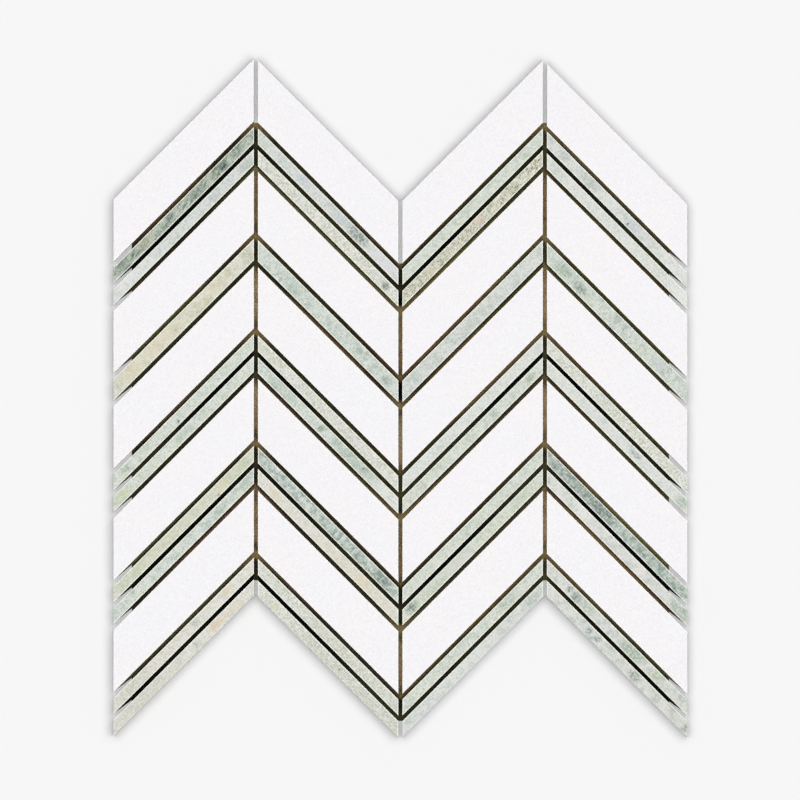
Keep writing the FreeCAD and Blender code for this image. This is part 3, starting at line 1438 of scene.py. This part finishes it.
    def _weave(self, mesh: bmesh.types.BMesh) -> None:
        """Lay the threads: warp up the sheet and weft across it.

        Args:
            mesh: The mesh to lay them in.
        """
        step = self.pitch / self.threads_to_a_column
        edge = self.thread_width / 2.0
        for count in range(int(2.0 * self.reach / step)):
            x = self.joints[0] + (count + 0.5 - math.floor((self.joints[0] + self.reach) / step)) * step
            if abs(x) > self.reach - edge:
                continue
            low = self.bottom_peak - self.fall(x) + edge
            high = self.top_peak - self.fall(x) - edge
            for joint in self.joints:
                if abs(x - joint) < self.half_joint + edge:
                    low, high = self.slit_bottom[joint], self.slit_top[joint]
            self._thread(mesh, Vector((x, low, 0.0)), Vector((x, high, 0.0)), self.warp)
        rows = int((self.top_peak - self.bottom_peak + CLIMB * self.pitch) / step)
        for count in range(rows):
            y = self.bottom_peak - CLIMB * self.pitch + (count + 0.5) * step
            for left, right in self._spans(y):
                self._thread(mesh, Vector((left, y, 0.0)), Vector((right, y, 0.0)), self.weft)

    def _spans(self, y: float) -> list[Range]:
        """Stretches of one weft thread that lie on the backing.

        Args:
            y: Where the thread runs.

        Returns:
            The left and right end of each stretch.
        """
        spans: list[Range] = []
        edges = [-self.reach, *self.joints, self.reach]
        for left, right in zip(edges, edges[1:]):
            start = left + self.half_joint if self._slit(left, y) else left
            end = right - self.half_joint if self._slit(right, y) else right
            near, far = sorted((self.bottom_peak - y, self.top_peak - y))
            if self.fall(left) > self.fall(right):
                start, end = max(start, right - far / CLIMB), min(end, right - near / CLIMB)
            else:
                start, end = max(start, left + near / CLIMB), min(end, left + far / CLIMB)
            if end - start < self.thread_width:
                continue
            if spans and start == spans[-1][1]:
                spans[-1] = (spans[-1][0], end)
            else:
                spans.append((start, end))
        return spans

    def _slit(self, joint: float, y: float) -> bool:
        """Whether the backing is slit at this upright joint and height."""
        return joint in self.slit_top and not self.slit_bottom[joint] < y < self.slit_top[joint]

    def _thread(self, mesh: bmesh.types.BMesh, start: Vector, end: Vector, depth: Range) -> None:
        """Lay one flattened thread.

        Args:
            mesh: The mesh to lay it in.
            start: One end on the sheet.
            end: The other end.
            depth: Its lowest and highest reach.
        """
        way = end - start
        middle = (start + end) / 2.0 + Vector((0.0, 0.0, sum(depth) / 2.0))
        turn = way.to_track_quat("Z", "Y").to_matrix().to_4x4()
        size = Matrix.Diagonal((self.thread_width, depth[1] - depth[0], way.length, 1.0))
        bmesh.ops.create_cone(
            mesh,
            cap_ends=True,
            segments=self.thread_sides,
            radius1=0.5,
            radius2=0.5,
            depth=1.0,
            matrix=Matrix.Translation(middle) @ turn @ size,
        )

    def courses(self) -> CourseMap:
        """Read from the frame how the courses lie over the backing.

        Returns:
            The map of the courses.
        """
        feet = []
        for number, left in zip(COLUMNS, (-self.reach, *self.joints), strict=True):
            bottom = self._edge_at_peak(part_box(f"col{number}_green_strip_{NARROW_STRIPS}"), lower=True)
            top = self._edge_at_peak(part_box(f"col{number}_white_bar_1"), lower=False)
            feet.append((left, bottom, top))
        bars = []
        _, bottom, top = feet[1]
        for rank in range(1, WHITE_BARS + 1):
            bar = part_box(f"col2_white_bar_{rank}")
            edges = (self._edge_at_peak(bar, lower=True), self._edge_at_peak(bar, lower=False))
            bars.append(tuple((edge - bottom) / (top - bottom) for edge in edges))
        return CourseMap(self.joints[0], self.pitch, 2.0 * self.half_joint, tuple(feet), tuple(bars))


@dataclass
class Studio:
    """A pale floor, plain soft light and a camera that looks straight down."""

    courses: CourseMap
    floor_colour: Colour = (247, 247, 247)
    # The floor is near black to light that bounces again, which deepens the shade on the stones' sides and
    # around the sheet.
    floor_bounce: Colour = (30, 30, 30)  # in light that bounces again
    # Under the sheet the floor is darker and glows for the camera: painted light, so that the open joints
    # and slits read pale.
    covered_colour: Colour = (200, 200, 200)
    slit_glow: float = 0.31
    end_glow: float = 0.06
    floor_size: float = 14.0
    floor_drop: float = 0.02 * MM
    sky_colour: Colour = (255, 255, 255)
    sky: float = 0.2
    sun: float = 0.8 * math.pi
    sun_tilt: Range = (math.radians(-1.5), math.radians(3.0))
    under_light: float = 0.7 * math.pi
    lamp_breadth: float = math.radians(62.0)
    picture_width: float = 415.2 * MM
    aim: Point = (-0.2 * MM, -1.0 * MM)
    lens: float = 1000.0
    sensor: float = 36.0
    farthest: float = 100.0

    def build(self) -> None:
        """Set up the floor, the light and the camera."""
        self._floor()
        self._sky()
        self._lamp("overhead", self.sun, self.sun_tilt)
        self._lamp("underneath", self.under_light, (math.pi, 0.0))
        self._camera()

    def _floor(self) -> None:
        """Lay the pale floor, which shows the net from below; under the sheet it glows for the camera,
        painted light that makes it read pale through open joints.
        """
        mesh = bmesh.new()
        bmesh.ops.create_grid(mesh, x_segments=1, y_segments=1, size=self.floor_size / 2.0)
        bmesh.ops.translate(mesh, verts=mesh.verts[:], vec=(0.0, 0.0, -self.floor_drop))
        floor = finished(mesh, "pale_floor")
        material, graph = new_material("pale_floor")
        seen = self._seen(graph)
        bounces = graph.add("ShaderNodeLightPath").outputs["Diffuse Depth"]
        # Light that has not bounced yet, and light that has bounced at most once.
        straight, once = (graph.maths("LESS_THAN", bounces, count + 0.5) for count in (0, 1))
        covered, ends = self.courses.covered(graph, graph.place())
        # Painted light: the glow of the floor under the sheet, brighter past the film's sides.
        painted_glow = graph.plus(graph.times(ends, self.end_glow), self.slit_glow)
        colour = graph.blend(covered, self.floor_colour, self.covered_colour)
        feeds = {
            "Base Color": graph.blend(once, self.floor_bounce, colour),
            "Roughness": 1.0,
            "Specular IOR Level": 0.0,
            "Emission Color": graph.times(graph.times(covered, seen), painted_glow),
            "Emission Strength": 1.0,
        }
        shader = graph.tree.nodes["Principled BSDF"]
        graph.feed(shader, feeds)
        beneath = graph.times(covered, graph.times(straight, graph.minus(1.0, seen)))
        behind = graph.add("ShaderNodeNewGeometry").outputs["Backfacing"]
        clear = graph.add("ShaderNodeBsdfTransparent").outputs[0]
        one_sided = graph.choose(graph.maths("MAXIMUM", behind, beneath), shader.outputs[0], clear)
        graph.feed(graph.tree.nodes["Material Output"], {"Surface": one_sided})
        floor.data.materials.append(material)

    def _sky(self) -> None:
        """Light the scene evenly from all round, with the floor's colour behind it."""
        world = bpy.data.worlds.new("plain_sky")
        world.use_nodes = True
        bpy.context.scene.world = world
        graph = Graph(world.node_tree)
        lighting = graph.tree.nodes["Background"]
        graph.feed(lighting, {"Color": linear(self.sky_colour), "Strength": self.sky})
        backdrop = graph.add("ShaderNodeBackground", {"Color": linear(self.floor_colour)})
        choice = graph.choose(self._seen(graph), lighting.outputs[0], backdrop.outputs[0])
        graph.feed(graph.tree.nodes["World Output"], {"Surface": choice})

    def _seen(self, graph: Graph) -> Socket:
        """Tell the rays that see the backdrop, straight or in a gloss, from those that only light.

        Args:
            graph: The graph to ask in.

        Returns:
            A socket that is 1 for such a ray.
        """
        rays = graph.add("ShaderNodeLightPath").outputs
        seen = graph.maths("MAXIMUM", rays["Is Camera Ray"], rays["Is Glossy Ray"])
        return graph.maths("MAXIMUM", seen, rays["Is Transmission Ray"])

    def _lamp(self, name: str, energy: float, tilt: Range) -> None:
        """Hang one broad soft lamp.

        Args:
            name: Name of the lamp.
            energy: How strong it is.
            tilt: How far it is turned from shining straight down, about x and about y.
        """
        light = bpy.data.lights.new(name, "SUN")
        light.energy = energy
        light.angle = self.lamp_breadth
        lamp = bpy.data.objects.new(name, light)
        lamp.rotation_euler = (*tilt, 0.0)
        lamp.visible_glossy = False
        bpy.context.scene.collection.objects.link(lamp)

    def _camera(self) -> None:
        """Look straight down on the polished faces with a long lens."""
        lens = bpy.data.cameras.new("overhead_camera")
        lens.lens = self.lens
        lens.sensor_width = self.sensor
        lens.clip_end = self.farthest
        camera = bpy.data.objects.new("overhead_camera", lens)
        height = CAD_BOX[1].z + self.picture_width * self.lens / self.sensor
        camera.location = (*self.aim, height)
        bpy.context.scene.collection.objects.link(camera)
        bpy.context.scene.camera = camera


def main() -> None:
    """Build the sheet piece by piece and set up the studio."""
    logging.basicConfig(level=logging.INFO, format="%(name)s: %(message)s")
    bpy.context.scene.view_settings.view_transform = "Standard"
    backing = MeshBacking(BrownResin())
    backing.build()
    white = WhiteMarble()
    for number in COLUMNS:
        StoneColumn(number, white).build()
    Studio(backing.courses()).build()


if __name__ == "__main__":
    main()
